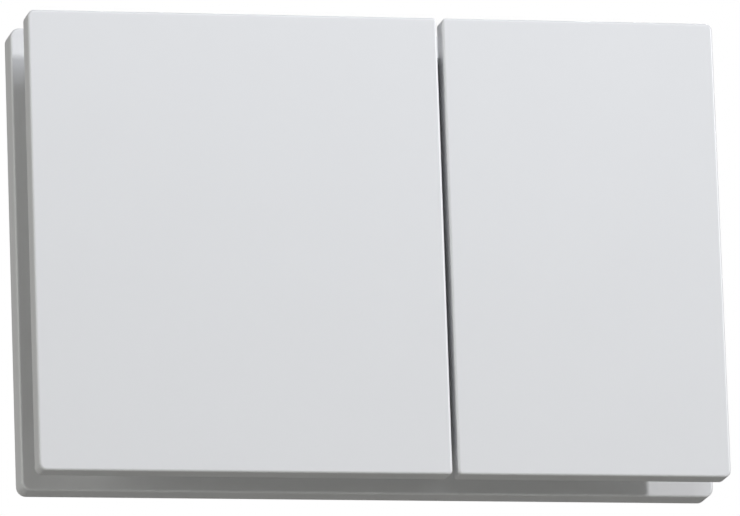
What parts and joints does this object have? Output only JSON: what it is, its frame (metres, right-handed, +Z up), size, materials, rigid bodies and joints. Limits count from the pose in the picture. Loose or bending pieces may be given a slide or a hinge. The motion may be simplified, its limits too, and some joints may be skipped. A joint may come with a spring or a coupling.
{
  "type": "flush button plate",
  "caption": "Wall plate for a concealed cistern with a wide and a narrow floating push button, each hinged near its top and driving a sprung push rod.",
  "frame": {"origin": "middle of the base plate at the wall face, midway between the two fixing studs", "axes": "+X to the user's right, +Y into the wall along the fixing studs, +Z up"},
  "size_m": [0.248, 0.091, 0.166],
  "materials": {
    "plate_white": "satin moulded white",
    "carrier_white": "fine-textured moulded white",
    "frame_grey": "matt moulded grey",
    "acetal": "smooth natural acetal",
    "nut_plastic": "matt black moulding",
    "zinc_steel": "bright zinc plate",
    "spring_steel": "drawn spring wire",
    "rubber": "matt rubber"
  },
  "bodies": {
    "plate_body": {"base_plate": "plate_white", "mounting_frame": "frame_grey", "button_carrier": "carrier_white", "carrier_screws": "zinc_steel", "left_fixing_stud": "zinc_steel", "right_fixing_stud": "zinc_steel", "left_fixing_nut": "nut_plastic", "right_fixing_nut": "nut_plastic", "full_flush_hinge_pin": "zinc_steel", "full_flush_return_spring": "spring_steel", "full_flush_rod_guide": "acetal", "full_flush_rest_pads": "rubber", "full_flush_bumpers": "rubber", "half_flush_hinge_pin": "zinc_steel", "half_flush_return_spring": "spring_steel", "half_flush_rod_guide": "acetal", "half_flush_rest_pads": "rubber", "half_flush_bumpers": "rubber"},
    "full_button": {"full_flush_button": "plate_white", "full_flush_rocker": "carrier_white"},
    "half_button": {"half_flush_button": "plate_white", "half_flush_rocker": "carrier_white"},
    "full_rod": {"full_flush_push_rod": "acetal", "full_flush_contact_cap": "acetal", "full_flush_rod_clip": "zinc_steel"},
    "half_rod": {"half_flush_push_rod": "acetal", "half_flush_contact_cap": "acetal", "half_flush_rod_clip": "zinc_steel"}
  },
  "joints": [
    {"name": "full_flush_press", "type": "hinge", "parent": "plate_body", "child": "full_button", "pos_m": [-0.05, -0.023, 0.054], "axis": [1, 0, 0], "range_deg": [0, 4.8], "stiffness_Nm_per_rad": 2.1, "springref_deg": -6.88},
    {"name": "full_flush_rod_slide", "type": "slide", "parent": "plate_body", "child": "full_rod", "axis": [0, 1, 0], "range_m": [0, 0.0071], "deforming": ["full_flush_return_spring"]},
    {"name": "half_flush_press", "type": "hinge", "parent": "plate_body", "child": "half_button", "pos_m": [0.07405, -0.023, 0.054], "axis": [1, 0, 0], "range_deg": [0, 4.8], "stiffness_Nm_per_rad": 2.1, "springref_deg": -6.88},
    {"name": "half_flush_rod_slide", "type": "slide", "parent": "plate_body", "child": "half_rod", "axis": [0, 1, 0], "range_m": [0, 0.0071], "deforming": ["half_flush_return_spring"]}
  ],
  "couplings": [
    {"joint": "full_flush_rod_slide", "follows": "full_flush_press", "m_per_rad": 0.084701},
    {"joint": "half_flush_rod_slide", "follows": "half_flush_press", "m_per_rad": 0.084701}
  ]
}
